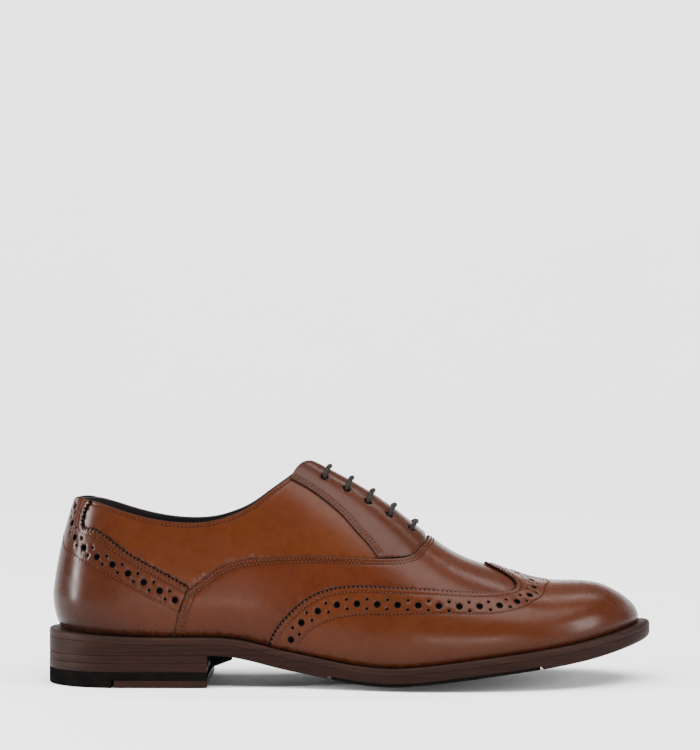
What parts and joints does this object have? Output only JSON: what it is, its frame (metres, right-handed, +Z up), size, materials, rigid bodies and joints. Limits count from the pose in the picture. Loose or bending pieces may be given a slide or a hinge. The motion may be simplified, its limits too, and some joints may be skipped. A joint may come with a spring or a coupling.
{
  "type": "oxford shoe",
  "caption": "Right-foot wing-tip leather oxford shoe with a stacked heel, closed lacing and a tongue that pivots at the throat.",
  "frame": {"origin": "on the floor, under the middle of the sole's length and width", "axes": "+X towards the toe, +Z up, -Y to the lateral (outer) side"},
  "size_m": [0.308, 0.1059, 0.1125],
  "materials": {
    "upper_leather": "polished tan calf, burnished darker at toe and heel",
    "lining_leather": "matt dark lining leather",
    "suede": "suede",
    "stiffener_board": "pressed fibre board",
    "backer_canvas": "woven canvas",
    "eyelet_brass": "dull",
    "waxed_lace": "round waxed cotton",
    "aglet_plastic": "glossy",
    "foam": "closed-cell foam",
    "cork": "ground cork",
    "spring_steel": "rolled",
    "welt_leather": "edge-dressed",
    "sole_leather": "edge-dressed, fine layers",
    "rubber": "matt",
    "nail_steel": "plain"
  },
  "bodies": {
    "shoe": {"toe_cap": "upper_leather", "vamp": "upper_leather", "heel_counter": "upper_leather", "quarter_lateral": "upper_leather", "quarter_medial": "upper_leather", "facing_lateral": "upper_leather", "facing_medial": "upper_leather", "quarter_lining_lateral": "lining_leather", "quarter_lining_medial": "lining_leather", "vamp_lining": "lining_leather", "heel_grip": "suede", "sock_lining": "lining_leather", "toe_puff": "stiffener_board", "heel_stiffener": "stiffener_board", "side_backer_lateral": "backer_canvas", "side_backer_medial": "backer_canvas", "eyelets_lateral": "eyelet_brass", "eyelets_medial": "eyelet_brass", "lace": "waxed_lace", "aglets": "aglet_plastic", "insole_board": "stiffener_board", "footbed_foam": "foam", "cork_filler": "cork", "shank": "spring_steel", "welt": "welt_leather", "heel_rand": "welt_leather", "outsole": "sole_leather", "forefoot_tread": "rubber", "breast_wedge": "rubber", "heel_lift_upper": "sole_leather", "heel_lift_lower": "sole_leather", "heel_rubber": "rubber", "heel_tip": "rubber", "heel_insert": "sole_leather", "heel_nails": "nail_steel"},
    "tongue": {"tongue": "upper_leather", "tongue_lining": "lining_leather"}
  },
  "joints": [
    {"name": "tongue_hinge", "type": "hinge", "parent": "shoe", "child": "tongue", "pos_m": [0.0286, 0, 0.0726], "axis": [0, 1, 0], "range_deg": [-15, 0], "stiffness_Nm_per_rad": 0.05}
  ]
}
